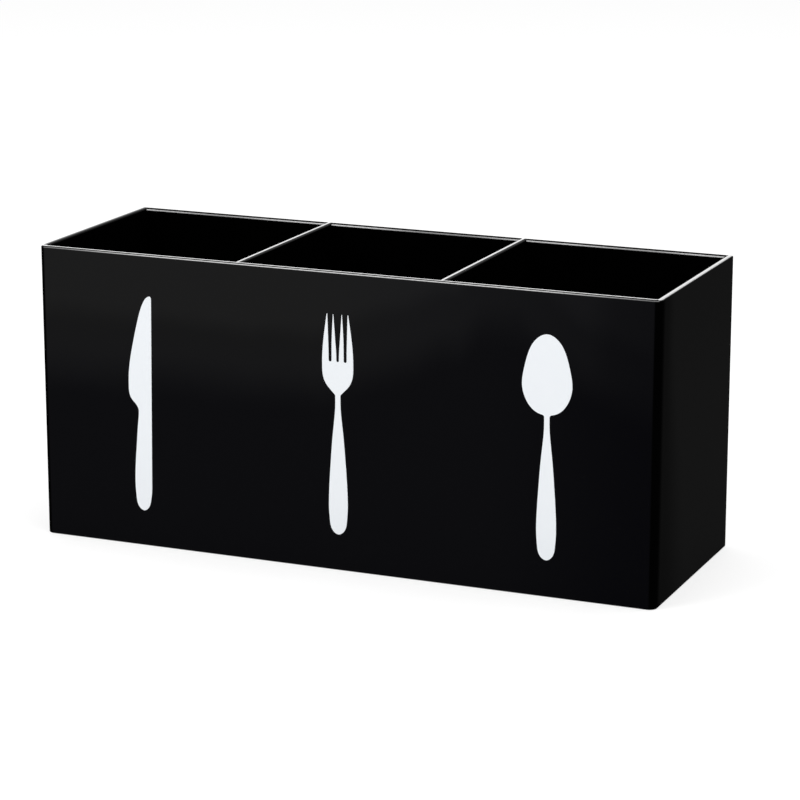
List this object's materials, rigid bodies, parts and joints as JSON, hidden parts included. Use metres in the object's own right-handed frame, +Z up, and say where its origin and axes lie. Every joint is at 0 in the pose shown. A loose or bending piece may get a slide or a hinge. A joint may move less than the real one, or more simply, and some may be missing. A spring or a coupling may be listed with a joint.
{
  "type": "cutlery dispenser",
  "caption": "Open-topped rectangular box of glossy black acrylic sheet, split by dividers into compartments for knives, forks and spoons, each marked by a white pictogram.",
  "frame": {"origin": "on the resting plane, under the middle of the box", "axes": "+Z up; +X along the box's length, towards the spoon compartment; the front, with the pictograms, faces -Y"},
  "size_m": [0.28, 0.0972, 0.128],
  "materials": {
    "black_acrylic": "cast sheet gloss, with flame-polished edges",
    "white_vinyl": "satin cut vinyl"
  },
  "bodies": {
    "root": {"front_and_ends": "black_acrylic", "back_panel": "black_acrylic", "base_panel": "black_acrylic", "divider_left": "black_acrylic", "divider_right": "black_acrylic", "knife_decal": "white_vinyl", "fork_decal": "white_vinyl", "spoon_decal": "white_vinyl"}
  },
  "joints": []
}
